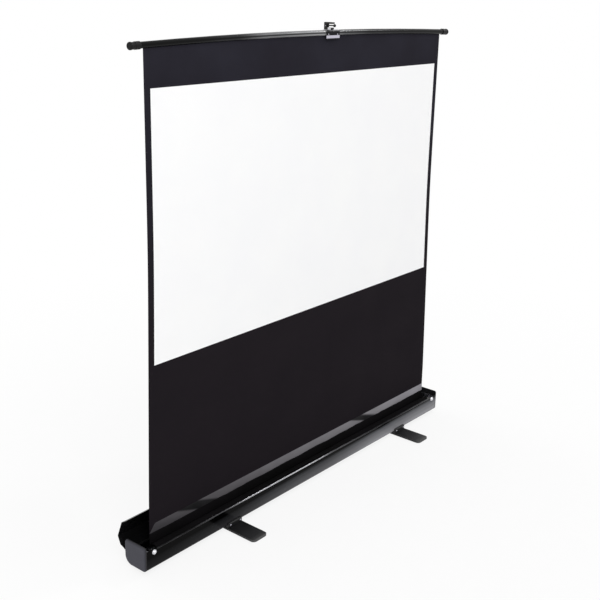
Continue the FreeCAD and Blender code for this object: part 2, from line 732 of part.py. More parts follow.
# Hanger strap over the bar, with a bridge that the hook's tongue lifts
STRAP_BORE = "(bar_radius + hanger_gap)"
hanger = new_body("hanger_bracket", (f"{MAST_X} - hanger_width / 2", "0", HANG_Z))
pad(hanger, "YZ_Plane", "hanger_width", loops=[[
    (f"-{STRAP_RADIUS}", "-hanger_front_drop"),
    (f"-{STRAP_BORE}", "-hanger_front_drop"),
    (f"-{STRAP_BORE}", "0", f"-{STRAP_BORE}"),
    ("0", STRAP_BORE, f"-{STRAP_BORE}"),
    (STRAP_BORE, "0"),
    (STRAP_BORE, "-hanger_back_drop"),
    (STRAP_RADIUS, "-hanger_back_drop"),
    (STRAP_RADIUS, "0", STRAP_RADIUS),
    ("0", STRAP_RADIUS, STRAP_RADIUS),
    (f"-{STRAP_RADIUS}", "0"),
]])
BRIDGE_IN = "(hook_width / 2 + bridge_gap)"
BRIDGE_TOP = f"({STRAP_RADIUS} + tongue_thick + 2 * bridge_gap + hanger_sheet)"
bridge = [(f"hanger_width / 2 {way} {BRIDGE_IN} {way} {extra}", height) for way, extra, height in (
    ("-", "hanger_sheet", STRAP_BORE),
    ("-", "0", STRAP_BORE),
    ("-", "0", f"{BRIDGE_TOP} - hanger_sheet"),
    ("+", "0", f"{BRIDGE_TOP} - hanger_sheet"),
    ("+", "0", STRAP_BORE),
    ("+", "hanger_sheet", STRAP_BORE),
    ("+", "hanger_sheet", BRIDGE_TOP),
    ("-", "hanger_sheet", BRIDGE_TOP),
)]
pad(hanger, "XZ_Plane", "bridge_depth", loops=[bridge], both=True)
group("hanger_rivets", [
    dome((f"{MAST_X} + {sign} * rivet_spread / 2", f"-{STRAP_RADIUS}", f"{HANG_Z} - rivet_drop"), (0, -1, 0),
         "rivet_radius", "rivet_proud") for sign in SIDES.values()
])

# Mast base: a fork on the case floor, with the pin that the mast folds about in storage
FORK_HALF = "(mast_radius + base_gap + base_sheet)"
FORK_TOP = "(base_height + base_cheek_height)"
base = new_body("mast_base", (MAST_X, "mast_back", "0"))
pad(base, "YZ_Plane", "base_width", both=True, loops=[[
    (f"-{FORK_HALF}", "base_height"),
    (FORK_HALF, "base_height"),
    (FORK_HALF, FORK_TOP),
    (f"{FORK_HALF} - base_sheet", FORK_TOP),
    (f"{FORK_HALF} - base_sheet", "base_height + base_sheet"),
    (f"-{FORK_HALF} + base_sheet", "base_height + base_sheet"),
    (f"-{FORK_HALF} + base_sheet", FORK_TOP),
    (f"-{FORK_HALF}", FORK_TOP),
]])
pocket(base, "XZ_Plane", f"2 * {FORK_HALF} + overrun", both=True,
       circles=[(("0", "base_pin_height"), "base_pin_radius + fit")])
pin = new_body("mast_pivot_pin", (MAST_X, f"mast_back - {FORK_HALF}", "base_pin_height"),
               FreeCAD.Vector(0, 0, 1), "90")
turn(pin, [
    ("0", "0"),
    (f"2 * {FORK_HALF} + base_pin_proud", "0"),
    (f"2 * {FORK_HALF} + base_pin_proud", "base_pin_head"),
    (f"2 * {FORK_HALF}", "base_pin_head"),
    (f"2 * {FORK_HALF}", "base_pin_radius"),
    ("0", "base_pin_radius"),
])

# Mast tubes and the glide at the foot of the upper one
LOWER_BORE = "(mast_radius - mast_wall)"
UPPER_BORE = "(mast_upper_radius - mast_wall)"
CENTRE = ("0", "0")
lower = new_body("mast_lower_tube", (MAST_X, "mast_back", "mast_foot_height"))
pad(lower, "XY_Plane", f"{MAST_LOWER_TOP} - mast_foot_height",
    circles=[(CENTRE, "mast_radius"), (CENTRE, LOWER_BORE)])
pocket(lower, "XZ_Plane", "2 * mast_radius + overrun", both=True,
       circles=[(("0", "base_pin_height - mast_foot_height"), "base_pin_radius + fit")])
upper = new_body("mast_upper_tube", (MAST_X, "mast_back", MAST_UPPER_BOTTOM))
pad(upper, "XY_Plane", f"{MAST_UPPER_TOP} - {MAST_UPPER_BOTTOM}",
    circles=[(CENTRE, "mast_upper_radius"), (CENTRE, UPPER_BORE)])
glide = new_body("mast_glide", (MAST_X, "mast_back", MAST_UPPER_BOTTOM))
pad(glide, "XY_Plane", "glide_length", back=True, circles=[(CENTRE, f"{LOWER_BORE} - fit")])
pad(glide, "XY_Plane", "glide_spigot", circles=[(CENTRE, f"{UPPER_BORE} - fit")])

# Clamp collar with a cam lever at the back
COLLAR_BOTTOM = f"({MAST_LOWER_TOP} + collar_cap - collar_height)"
PIN_Y = "(collar_radius + collar_ear_margin)"
PIN_Z = "(collar_height - collar_pin_drop)"
EAR_OUT = f"({PIN_Y} + collar_ear_margin)"
collar = new_body("mast_collar", (MAST_X, "mast_back", COLLAR_BOTTOM))
pad(collar, "XY_Plane", "collar_height",
    circles=[(CENTRE, "collar_radius"), (CENTRE, "mast_upper_radius + fit")])
pocket(collar, "XY_Plane", "collar_height - collar_cap", circles=[(CENTRE, "mast_radius + fit")])
ear = rectangle("mast_radius + mast_wall", f"{PIN_Z} - collar_ear_margin",
                EAR_OUT, f"{PIN_Z} + collar_ear_margin")
pad(collar, "YZ_Plane", "collar_ear_gap + 2 * collar_ear", both=True, loops=[ear])
gap = rectangle("collar_radius", f"{PIN_Z} - 2 * collar_ear_margin",
                f"{EAR_OUT} + overrun", f"{PIN_Z} + 2 * collar_ear_margin")
pocket(collar, "YZ_Plane", "collar_ear_gap", both=True, loops=[gap])
pocket(collar, "YZ_Plane", "collar_ear_gap + 2 * collar_ear + overrun", both=True,
       circles=[((PIN_Y, PIN_Z), "collar_pin_radius + fit")])
LEVER_PLACE = (MAST_X, f"mast_back + {PIN_Y}", f"{COLLAR_BOTTOM} + {PIN_Z}")
cross = new_body("collar_pin", LEVER_PLACE)
pad(cross, "YZ_Plane", "collar_ear_gap + 2 * collar_ear", both=True, circles=[(CENTRE, "collar_pin_radius")])
lever = new_body("collar_lever", LEVER_PLACE)
pad(lever, "YZ_Plane", "collar_ear_gap - 2 * joint_gap", both=True, circles=[(CENTRE, "lever_hub")])
pad(lever, "YZ_Plane", "collar_ear_gap - 2 * joint_gap", both=True,
    loops=[rectangle("-lever_thick / 2", "-lever_neck - overrun", "lever_thick / 2", "-lever_hub / 2")])
pad(lever, "YZ_Plane", "lever_paddle", both=True,
    loops=[rectangle("-lever_thick / 2", "-lever_length", "lever_thick / 2", "-lever_neck")])
round_corners(lever, "y", "lever_paddle / 3", [
    (f"{sign} * lever_paddle / 2", "-lever_length") for sign in SIDES.values()
])
pocket(lever, "YZ_Plane", "lever_paddle", both=True, circles=[(CENTRE, "collar_pin_radius + fit / 2")])

# Hook: socket on the mast, post, tongue under the bridge and an arm above, with a ball lever
SOCKET_BOTTOM = f"({MAST_UPPER_TOP} + socket_roof - socket_length)"
HOOK_TOP = f"({HANG_Z} + hook_rise - {SOCKET_BOTTOM})"
POST_FRONT = "(hook_front - mast_back)"
POST_BACK = "(hook_front + hook_depth - mast_back)"
TONGUE = f"({TONGUE_Z} - {SOCKET_BOTTOM})"
ARM_FRONT = f"({POST_FRONT} - arm_reach)"
HOOK_PIN_Y = f"({POST_FRONT} + hook_pin_inset)"
HOOK_PIN_Z = f"(({TONGUE} + tongue_thick + {HOOK_TOP} - arm_thick) / 2)"
hook = new_body("mast_hook", (MAST_X, "mast_back", SOCKET_BOTTOM))
pad(hook, "XY_Plane", "socket_length", circles=[(CENTRE, "socket_radius")])
pocket(hook, "XY_Plane", "socket_length - socket_roof", circles=[(CENTRE, "mast_upper_radius + fit")])
pad(hook, "YZ_Plane", "hook_width", both=True, loops=[[
    (POST_BACK, "socket_length - socket_roof"),
    (POST_BACK, HOOK_TOP),
    (ARM_FRONT, HOOK_TOP),
    (ARM_FRONT, f"{HOOK_TOP} - arm_thick"),
    (POST_FRONT, f"{HOOK_TOP} - arm_thick"),
    (POST_FRONT, f"{TONGUE} + tongue_thick"),
    (f"{POST_FRONT} - tongue_reach", f"{TONGUE} + tongue_thick"),
    (f"{POST_FRONT} - tongue_reach", TONGUE),
    (POST_FRONT, TONGUE),
    (POST_FRONT, "socket_length - socket_roof"),
]])
round_corners(hook, "x", "hook_rounding", [
    (POST_BACK, HOOK_TOP), (ARM_FRONT, HOOK_TOP), (ARM_FRONT, f"{HOOK_TOP} - arm_thick"),
])
SLOT_RISE = "(hook_lever_hub + hook_rounding / 2)"
pocket(hook, "YZ_Plane", "lever_slot", both=True, loops=[rectangle(
    f"{POST_FRONT} - overrun", f"{HOOK_PIN_Z} - {SLOT_RISE}",
    f"{HOOK_PIN_Y} + {SLOT_RISE}", f"{HOOK_PIN_Z} + {SLOT_RISE}")])
pocket(hook, "YZ_Plane", "hook_width + overrun", both=True,
       circles=[((HOOK_PIN_Y, HOOK_PIN_Z), "hook_pin_radius + fit / 2")])
HOOK_PIN_PLACE = (MAST_X, f"mast_back + {HOOK_PIN_Y}", f"{SOCKET_BOTTOM} + {HOOK_PIN_Z}")
hook_pin = new_body("hook_lever_pin", HOOK_PIN_PLACE)
pad(hook_pin, "YZ_Plane", "hook_width", both=True, circles=[(CENTRE, "hook_pin_radius")])
trigger = new_body("hook_lever", HOOK_PIN_PLACE)
pad(trigger, "YZ_Plane", "hook_lever_thick", both=True, circles=[(CENTRE, "hook_lever_hub")])
pad(trigger, "YZ_Plane", "hook_lever_thick", both=True, loops=[rectangle(
    "-hook_lever_reach", "hook_lever_rise - hook_lever_thick / 2",
    "-hook_lever_hub / 2", "hook_lever_rise + hook_lever_thick / 2")])
pocket(trigger, "YZ_Plane", "lever_slot", both=True, circles=[(CENTRE, "hook_pin_radius + fit / 2")])
ball = trigger.newObject("PartDesign::AdditiveSphere", "ball")
drive(ball, "Radius", "ball_radius")
drive(ball, ".Placement.Base.y", "-hook_lever_reach")
drive(ball, ".Placement.Base.z", "hook_lever_rise")

# Feet that swivel under the case, each on a shoulder bolt below a saddle
SADDLE_BOTTOM = f"({FOOT_TOP} + washer_thick)"
SADDLE_TOP = f"({SADDLE_BOTTOM} + saddle_height)"
SADDLE_OUT = f"({CASE_BACK} + saddle_overhang)"
SADDLE_FLAT = f"({CASE_BACK} - bottom_radius)"
CRADLE = "(bottom_radius + fit)"
FRONT_FLAT = f"({CASE_BACK} - front_bottom_radius)"
FRONT_FIT = f"(-{CASE_BACK} - fit)"
CRADLE_Y = f"({SADDLE_FLAT} + sqrt(pow({CRADLE}; 2) - pow({CASE_BOTTOM} + bottom_radius - {SADDLE_TOP}; 2)))"
HEAD_ROOM = "(bolt_recess + bolt_head_thick + fit)"
CORNERS = [(way, edge) for way in SIDES.values() for edge in SIDES.values()]
for side, sign in SIDES.items():
    foot_x = f"((foot_centre_share + {sign} * foot_spread_share / 2) * case_length)"
    saddle = new_body(f"saddle_{side}", (foot_x, "0", "0"))
    pad(saddle, "YZ_Plane", "saddle_width", both=True, loops=[[
        (f"-{SADDLE_OUT}", SADDLE_BOTTOM),
        (SADDLE_OUT, SADDLE_BOTTOM),
        (SADDLE_OUT, SADDLE_TOP),
        (CRADLE_Y, SADDLE_TOP, f"-{CRADLE}"),
        (SADDLE_FLAT, f"{CASE_BOTTOM} - fit"),
        (f"-{FRONT_FLAT}", f"{CASE_BOTTOM} - fit", "-(front_bottom_radius + fit)"),
        (FRONT_FIT, f"{CASE_BOTTOM} + front_bottom_radius"),
        (FRONT_FIT, SADDLE_TOP),
        (f"-{SADDLE_OUT}", SADDLE_TOP),
    ]])
    round_corners(saddle, "x", "saddle_rounding", [(f"-{SADDLE_OUT}", SADDLE_TOP), (SADDLE_OUT, SADDLE_TOP)])
    round_corners(saddle, "z", "saddle_rounding", [
        (f"{way} * saddle_width / 2", f"{edge} * {SADDLE_OUT}") for way, edge in CORNERS
    ])
    pocket(saddle, "XY_Plane", SADDLE_TOP, circles=[(CENTRE, "bolt_radius + fit")])
    foot = new_body(f"foot_{side}", (foot_x, "0", "pad_thick"))
    pad(foot, "XY_Plane", "foot_thick", circles=[(CENTRE, "bolt_radius + fit / 2")],
        loops=[rectangle("-foot_width / 2", "-foot_length / 2", "foot_width / 2", "foot_length / 2")])
    tips = [(number(f"{way} * foot_length / 2"), number("foot_thick")) for way in SIDES.values()]
    dress(foot, "Chamfer", "foot_tip", edges_along(foot, "x", tips))
    round_corners(foot, "z", "foot_corner", [
        (f"{way} * foot_width / 2", f"{edge} * foot_length / 2") for way, edge in CORNERS
    ])
    pocket(foot, "XY_Plane", HEAD_ROOM, circles=[(CENTRE, "bolt_head_radius + joint_gap")])
    group(f"foot_pads_{side}", [
        rod((foot_x, f"{way} * (foot_length / 2 - pad_inset)", "0"), (0, 0, 1), "pad_radius", "pad_thick")
        for way in SIDES.values()
    ])
    washer = new_body(f"foot_washer_{side}", (foot_x, "0", FOOT_TOP))
    ring = [(CENTRE, "washer_radius"), (CENTRE, "bolt_radius + fit")]
    pad(washer, "XY_Plane", "washer_thick", circles=ring)
    bolt = new_body(f"foot_bolt_{side}", (foot_x, "0", "pad_thick + bolt_recess"))
    pad(bolt, "XY_Plane", "bolt_head_thick", circles=[(CENTRE, "bolt_head_radius")])
    pad(bolt, "XY_Plane", f"{CASE_BOTTOM} - pad_thick - bolt_recess", circles=[(CENTRE, "bolt_radius")])
    heads = []
    for way in SIDES.values():
        spot = (f"{foot_x} + {way} * saddle_screw_spread / 2", f"-{SADDLE_OUT}",
                f"{SADDLE_BOTTOM} + saddle_height / 2")
        heads.append(dome(spot, (0, -1, 0), "saddle_screw_head", "saddle_screw_proud"))
    group(f"saddle_screws_{side}", heads)

# Test every object, then write one file for each sub-part
doc.recompute()
for thing in doc.Objects:
    if {"Invalid", "Error"} & set(thing.State):
        raise RuntimeError(f"{thing.Label} failed: {thing.State}")
os.makedirs("parts", exist_ok=True)
for part in PARTS:
    shape = part.Shape
    if shape.isNull() or not shape.isValid() or not shape.Solids:
        raise RuntimeError(f"{part.Label} has no sound shape")
    shape.exportStep(f"parts/{part.Label}.step")
print(len(PARTS), "sub-parts")
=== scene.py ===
"""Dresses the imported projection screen: finishes for its rigid pieces, and cloth for its soft ones."""
import logging
import math
from dataclasses import dataclass
from enum import Enum
from typing import Callable

import bpy
from mathutils import Matrix, Vector, noise


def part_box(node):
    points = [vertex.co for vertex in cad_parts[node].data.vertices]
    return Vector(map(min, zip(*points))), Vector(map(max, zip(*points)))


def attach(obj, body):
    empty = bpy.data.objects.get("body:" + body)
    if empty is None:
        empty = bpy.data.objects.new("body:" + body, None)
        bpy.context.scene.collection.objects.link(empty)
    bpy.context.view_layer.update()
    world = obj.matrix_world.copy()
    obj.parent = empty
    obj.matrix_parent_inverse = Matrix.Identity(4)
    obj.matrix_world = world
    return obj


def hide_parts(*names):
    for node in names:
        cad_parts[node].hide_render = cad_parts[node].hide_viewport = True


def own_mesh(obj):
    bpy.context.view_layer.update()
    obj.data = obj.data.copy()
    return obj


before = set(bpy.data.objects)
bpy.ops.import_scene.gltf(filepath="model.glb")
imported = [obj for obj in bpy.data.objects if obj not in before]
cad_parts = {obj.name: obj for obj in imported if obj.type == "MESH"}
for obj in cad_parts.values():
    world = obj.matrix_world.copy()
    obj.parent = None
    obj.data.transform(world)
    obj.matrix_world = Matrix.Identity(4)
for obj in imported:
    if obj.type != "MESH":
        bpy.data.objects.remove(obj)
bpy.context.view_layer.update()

LOG = logging.getLogger("projection_screen")
MM = 0.001
Tree = bpy.types.NodeTree
Node = bpy.types.Node
Socket = bpy.types.NodeSocket
Point = tuple[float, float, float]
X_AXIS: Point = (1.0, 0.0, 0.0)
Y_AXIS: Point = (0.0, 1.0, 0.0)
Z_AXIS: Point = (0.0, 0.0, 1.0)
WHITE = (1.0, 1.0, 1.0, 1.0)

# Sockets of a Mix node that mixes colours.
MIX_A, MIX_B, MIX_RESULT = 6, 7, 2
# Scale of the wave texture at which a band is one unit wide.
WAVE_UNIT = math.pi / 20
# Factor on the coordinate along the case that stretches the pattern of a drawn surface.
DRAWN_SCALE = 0.004
# Levels of the wandering noise between which the shade and the roughness change.
SHADE_LEVELS = (0.35, 0.65)
ROUGH_LEVELS = (0.3, 0.7)
# Cosine between the rounded and the true normal, from untouched to rubbed, and the worn shade's share there.
RUB_TURN = (0.99, 0.8)
RUB_SHARE = 0.6


def linear(colour: str) -> tuple[float, float, float, float]:
    """Turn an sRGB hex colour into linear RGBA.

    Args:
        colour: six hex digits after a hash sign.

    Returns:
        Linear red, green and blue, with an alpha of one.
    """
    parts = [int(colour[i:i + 2], 16) / 255 for i in (1, 3, 5)]
    red, green, blue = (c / 12.92 if c <= 0.04045 else ((c + 0.055) / 1.055) ** 2.4 for c in parts)
    return red, green, blue, 1.0


def add(tree: Tree, kind: str, settings: dict | None = None, links: dict | None = None) -> Node:
    """Add one node with its settings and links.

    Args:
        tree: the node tree that takes the node.
        kind: the node's type name, without the ShaderNode in front.
        settings: attribute names, or input names or numbers, with their values.
        links: input names or numbers with the output socket that feeds each.

    Returns:
        The new node.
    """
    node = tree.nodes.new("ShaderNode" + kind)
    for key, value in (settings or {}).items():
        if isinstance(key, str) and hasattr(node, key):
            setattr(node, key, value)
        else:
            node.inputs[key].default_value = value
    for key, source in (links or {}).items():
        tree.links.new(source, node.inputs[key])
    return node


class Grain(Enum):
    """How a surface was made, which sets the kind of its fine pattern."""

    DRAWN = "drawn through a die, so its lines run along the case"
    MOULDED = "moulded against a spark-eroded tool"
    EMBOSSED = "pressed with a fine bead"
    SPRAYED = "sprayed or dipped, so it has a slight orange peel"
    WOVEN = "woven and coated"
    POLISHED = "polished, then plated or anodised, with faint marks"
    ROLLED = "rolled into film, with a faint ripple"


@dataclass(frozen=True)
class Band:
    """A shade that follows one direction through the object.

    A stop is the dot product of the axis and the place in metres, with the hex colour there. The bow, per
    metre, bends the band downwards at both ends of the X axis.
    """

    axis: Point
    stops: tuple[tuple[float, str], ...]
    bow: float = 0.0

    def ramp(self, tree: Tree) -> Socket:
        """Draw the shade.

        Args:
            tree: the material's node tree.

        Returns:
            The colour socket.
        """
        where = add(tree, "TexCoord").outputs["Object"]
        along = add(tree, "VectorMath", {"operation": "DOT_PRODUCT", 1: self.axis}, {0: where})
        parts = add(tree, "SeparateXYZ", links={0: where})
        square = add(tree, "Math", {"operation": "MULTIPLY"}, {0: parts.outputs["X"], 1: parts.outputs["X"]})
        straight = add(tree, "Math", {"operation": "MULTIPLY_ADD", 1: self.bow},
                       {0: square.outputs[0], 2: along.outputs["Value"]})
        low, high = self.stops[0][0], self.stops[-1][0]
        share = add(tree, "MapRange", {"From Min": low, "From Max": high}, {"Value": straight.outputs[0]})
        ramp = add(tree, "ValToRGB", links={"Fac": share.outputs[0]})
        ramp.color_ramp.interpolation = "EASE"
        elements = ramp.color_ramp.elements
        for index, (at, colour) in enumerate(self.stops):
            place = (at - low) / (high - low)
            if index < len(elements):
                stop = elements[index]
                stop.position = place
            else:
                stop = elements.new(place)
            stop.color = linear(colour)
        return ramp.outputs["Color"]


@dataclass(frozen=True)
class Finish:
    """One real material and how its surface was made.

    Its tone is one hex colour, or bands of shade that are multiplied. In patches it drifts to a second
    colour, and along its edges it may be worn to a third.
    """

    name: str
    tone: str | tuple[Band, ...]
    drift: str
    rough: tuple[float, float]
    grain: Grain
    grain_mm: float
    depth_mm: float
    metallic: float = 0.0
    ior: float = 1.5
    specular: float = 0.5
    patch_mm: float = 120.0
    edge_mm: float = 0.8
    drift_share: float = 1.0
    worn: str = ""

    def place(self, tree: Tree) -> Socket:
        """Give pattern coordinates in metres, stretched where the surface was drawn."""
        where = add(tree, "TexCoord")
        stretch = (DRAWN_SCALE if self.grain is Grain.DRAWN else 1.0, 1.0, 1.0)
        return add(tree, "Mapping", {"Scale": stretch}, {"Vector": where.outputs["Object"]}).outputs[0]

    def pattern(self, tree: Tree, spot: Socket) -> Socket:
        """Draw the fine pattern of the surface.

        Args:
            tree: the material's node tree.
            spot: pattern coordinates in metres.

        Returns:
            A height from 0 to 1.
        """
        scale = 1 / (self.grain_mm * MM)
        seat = {"Vector": spot}
        if self.grain is Grain.WOVEN:
            weave = {"wave_type": "BANDS", "Scale": scale * WAVE_UNIT, "Distortion": 0.6, "Detail": 1.0}
            threads = [add(tree, "TexWave", {**weave, "bands_direction": way}, seat).outputs["Fac"]
                       for way in ("X", "Z")]
            return add(tree, "Math", {"operation": "MULTIPLY"}, dict(enumerate(threads))).outputs[0]
        if self.grain in (Grain.MOULDED, Grain.EMBOSSED):
            return add(tree, "TexVoronoi", {"Scale": scale, "Randomness": 1.0}, seat).outputs["Distance"]
        return add(tree, "TexNoise", {"Scale": scale, "Detail": 3.0, "Roughness": 0.6}, seat).outputs["Fac"]

    def shade(self, tree: Tree, patches: Socket) -> Socket:
        """Mix the tone with the colour that it drifts to.

        Args:
            tree: the material's node tree.
            patches: a value from 0 to 1 that wanders over the surface.

        Returns:
            The colour socket.
        """
        soft = add(tree, "Math", {"operation": "MULTIPLY", 1: self.drift_share}, {0: patches})
        mix = add(tree, "Mix", {"data_type": "RGBA", MIX_B: linear(self.drift)}, {"Factor": soft.outputs[0]})
        if isinstance(self.tone, str):
            mix.inputs[MIX_A].default_value = linear(self.tone)
        else:
            tree.links.new(self.banded(tree, self.tone), mix.inputs[MIX_A])
        return mix.outputs[MIX_RESULT]

    def banded(self, tree: Tree, bands: tuple[Band, ...]) -> Socket:
        """Multiply bands of shade.

        Args:
            tree: the material's node tree.
            bands: the bands, of which there is at least one.

        Returns:
            The colour socket.
        """
        shade = bands[0].ramp(tree)
        for band in bands[1:]:
            shade = add(tree, "Mix", {"data_type": "RGBA", "blend_type": "MULTIPLY", 0: 1.0},
                        {MIX_A: shade, MIX_B: band.ramp(tree)}).outputs[MIX_RESULT]
        return shade

    def wear(self, tree: Tree, edges: Node, shade: Socket) -> Socket:
        """Rub the colour paler along the edges, where hands and floors touch them.

        Args:
            tree: the material's node tree.
            edges: the node that rounds the normal near an edge.
            shade: the colour before it is rubbed.

        Returns:
            The colour socket.
        """
        if not self.worn:
            return shade
        true = add(tree, "NewGeometry")
        turn = add(tree, "VectorMath", {"operation": "DOT_PRODUCT"},
                   {0: edges.outputs[0], 1: true.outputs["Normal"]})
        rub = add(tree, "MapRange", {"From Min": RUB_TURN[0], "From Max": RUB_TURN[1], "To Max": RUB_SHARE},
                  {"Value": turn.outputs["Value"]})
        mix = add(tree, "Mix", {"data_type": "RGBA", MIX_B: linear(self.worn)},
                  {"Factor": rub.outputs[0], MIX_A: shade})
        return mix.outputs[MIX_RESULT]

    def material(self) -> bpy.types.Material:
        """Build the node material, once.

        Returns:
            The material, shared by every piece with this finish.
        """
        found = bpy.data.materials.get(self.name)
        if found:
            return found
        made = bpy.data.materials.new(self.name)
        made.use_nodes = True
        tree = made.node_tree
        tree.nodes.clear()
        spot = self.place(tree)
        fine = self.pattern(tree, spot)
        wander = add(tree, "TexNoise", {"Scale": 1 / (self.patch_mm * MM), "Detail": 4.0}, {"Vector": spot})
        level = {"Value": wander.outputs["Fac"]}
        patches = add(tree, "MapRange", {"From Min": SHADE_LEVELS[0], "From Max": SHADE_LEVELS[1]}, level)
        rough = add(tree, "MapRange", {"From Min": ROUGH_LEVELS[0], "From Max": ROUGH_LEVELS[1],
                                       "To Min": self.rough[0], "To Max": self.rough[1]}, level)
        edges = add(tree, "Bevel", {"samples": 4, "Radius": self.edge_mm * MM})
        bump = add(tree, "Bump", {"Strength": 1.0, "Distance": self.depth_mm * MM},
                   {"Height": fine, "Normal": edges.outputs[0]})
        shader = add(tree, "BsdfPrincipled", {
            "Metallic": self.metallic, "IOR": self.ior, "Specular IOR Level": self.specular,
        }, {"Base Color": self.wear(tree, edges, self.shade(tree, patches.outputs[0])),
            "Roughness": rough.outputs[0], "Normal": bump.outputs[0]})
        add(tree, "OutputMaterial", links={"Surface": shader.outputs[0]})
        return made


# Extruded aluminium, lacquered gloss black: deep black under the bead, and on the front's lower half a
# painted reflection of the pale floor, grey and growing paler towards the right-hand end.
CASE_LACQUER = Finish("gloss_black_lacquered_aluminium", (
    Band((-0.012, 0.0, 1.0), ((0.02, "#a4a4a8"), (0.04, "#8e8e92"), (0.064, "#6c6d71"), (0.074, "#4c4d50"),
                              (0.082, "#060607"), (0.2, "#060607"))),
    Band(X_AXIS, ((-1.0, "#3c3c3c"), (-0.7, "#545454"), (0.0, "#a8a8a8"), (0.6, "#f4f4f4"))),
    Band(Y_AXIS, ((-0.062, "#ffffff"), (-0.058, "#ffffff"), (-0.05, "#101011"), (0.1, "#101011"))),
), "#060607", (0.12, 0.20), Grain.DRAWN, 1.5, 0.012, specular=0.04, drift_share=0.2, worn="#2c2c2e")
# The lid in the same lacquer, its edges rubbed greyer; a painted grey sheen bands its top, paler upwards.
LID_LACQUER = Finish("gloss_black_lacquered_lid", (
    Band(Z_AXIS, ((0.05, "#111112"), (0.174, "#111112"), (0.179, "#454543"), (0.2, "#5a5a58"))),
), "#0a0a0b", (0.12, 0.20), Grain.DRAWN, 1.5, 0.012, specular=0.12, drift_share=0.35, worn="#2c2c2e")
# The same lacquer on the bar, with painted highlights beside the hook in two pale lines along its length,
# and a painted dark line of shade between them along its middle.
BAR_LACQUER = Finish("gloss_black_lacquered_bar", (
    Band(X_AXIS, ((-1.0, "#040405"), (-0.7, "#060607"), (-0.5, "#222224"), (-0.3, "#767678"),
                  (0.05, "#98989a"), (0.2, "#58585a"), (0.4, "#242426"), (0.7, "#060607"),
                  (1.0, "#040405"))),
    Band(Z_AXIS, ((2.034, "#707070"), (2.0385, "#ffffff"), (2.0425, "#ffffff"), (2.0455, "#606060"),
                  (2.048, "#606060"), (2.051, "#ffffff"), (2.06, "#ffffff")), bow=0.018),
), "#0b0b0c", (0.14, 0.24), Grain.DRAWN, 1.5, 0.012, specular=0.1, drift_share=0.2, worn="#1c1c1e")
# Pressed steel, powder coated: black with a slight peel that softens its highlights.
POWDER_COAT = Finish("satin_black_powder_coat", "#0c0c0d", "#121213", (0.36, 0.48), Grain.SPRAYED, 1.2, 0.02,
                     specular=0.3, worn="#333335")
# Feet of anodised flat bar: painted shade makes them darkest under the case; a painted reflection pales
# their tips.
FOOT_BLACK = Finish("black_anodised_foot_bar", (
    Band(Y_AXIS, ((-0.215, "#4c4c4c"), (-0.18, "#2c2c2d"), (-0.08, "#0a0a0b"), (0.08, "#0a0a0b"),
                  (0.18, "#2c2c2d"), (0.215, "#4c4c4c"))),
), "#1c1c1e", (0.34, 0.48), Grain.SPRAYED, 1.0, 0.015, specular=0.25, edge_mm=1.6, drift_share=0.35,
    worn="#8a8a8a")
# Moulded ABS with a fine spark grain: matt dark grey on its broad outer faces, painted black shade
# elsewhere.
ABS_GREY = Finish("grey_moulded_abs_with_painted_shade", (
    Band(X_AXIS, ((-1.05, "#404048"), (-1.0482, "#3c3c44"), (-1.0462, "#0a0a0b"), (1.0462, "#0a0a0b"),
                  (1.0482, "#3c3c44"), (1.05, "#404048"))),
), "#42424a", (0.50, 0.62), Grain.MOULDED, 0.9, 0.03, specular=0.25, drift_share=0.1)
# Moulded black nylon, dull with a fine grain: bar caps, roller plugs, collar, lever and handle.
NYLON_BLACK = Finish("black_moulded_nylon", "#0c0c0d", "#121213", (0.38, 0.52), Grain.MOULDED, 0.8, 0.02,
                     specular=0.16, worn="#2a2a2c")
# Acetal: natural white bearing pieces, slightly waxy.
ACETAL = Finish("natural_acetal", "#d9d7d0", "#cfcdc6", (0.35, 0.45), Grain.MOULDED, 0.6, 0.01, ior=1.48)
# Chromed brass catches: satin bright outside, and dark from where they pass into the case.
CHROME = Finish("satin_chromed_brass", (
    Band(Y_AXIS, ((-0.07, "#e4e4e8"), (-0.0605, "#dcdce0"), (-0.0595, "#0c0c0d"), (-0.04, "#0c0c0d"))),
), "#cfcfd4", (0.22, 0.30), Grain.POLISHED, 0.5, 0.004, metallic=1.0, drift_share=0.1)
# Zinc-plated steel: soft grey mirror with a cool cast.
ZINC = Finish("zinc_plated_steel", "#b4b3bd", "#a3a2ab", (0.28, 0.40), Grain.POLISHED, 0.7, 0.008,
              metallic=1.0)
# Pressed hanger: bright plating left at its tab and its top, blacked where it lies across the bar.
HANGER_STEEL = Finish("part_blacked_steel", (
    Band(Z_AXIS, ((2.0, "#141416"), (2.0235, "#141416"), (2.0245, "#c6c3d0"), (2.0355, "#c6c3d0"),
                  (2.0365, "#0d0d0e"), (2.056, "#0d0d0e"), (2.058, "#d2d2d6"), (2.09, "#d2d2d6"))),
), "#8c8b94", (0.26, 0.38), Grain.POLISHED, 0.7, 0.008, metallic=1.0, drift_share=0.04)
# Drawn aluminium tube, natural anodised: the mast, a soft pale grey.
MAST_ALUMINIUM = Finish("natural_anodised_tube", "#a9aaae", "#9c9da2", (0.30, 0.42), Grain.POLISHED, 0.6,
                        0.01, metallic=1.0)
# The same tube for the roller, its bare ends black beside the cloth.
ROLLER_TUBE = Finish("anodised_tube_with_black_ends", (
    Band(X_AXIS, ((-1.0, "#0a0a0b"), (-0.94, "#0a0a0b"), (-0.93, "#a9aaae"), (0.93, "#a9aaae"),
                  (0.94, "#0a0a0b"), (1.0, "#0a0a0b"))),
), "#9c9da2", (0.30, 0.42), Grain.POLISHED, 0.6, 0.01, metallic=1.0, drift_share=0.04)
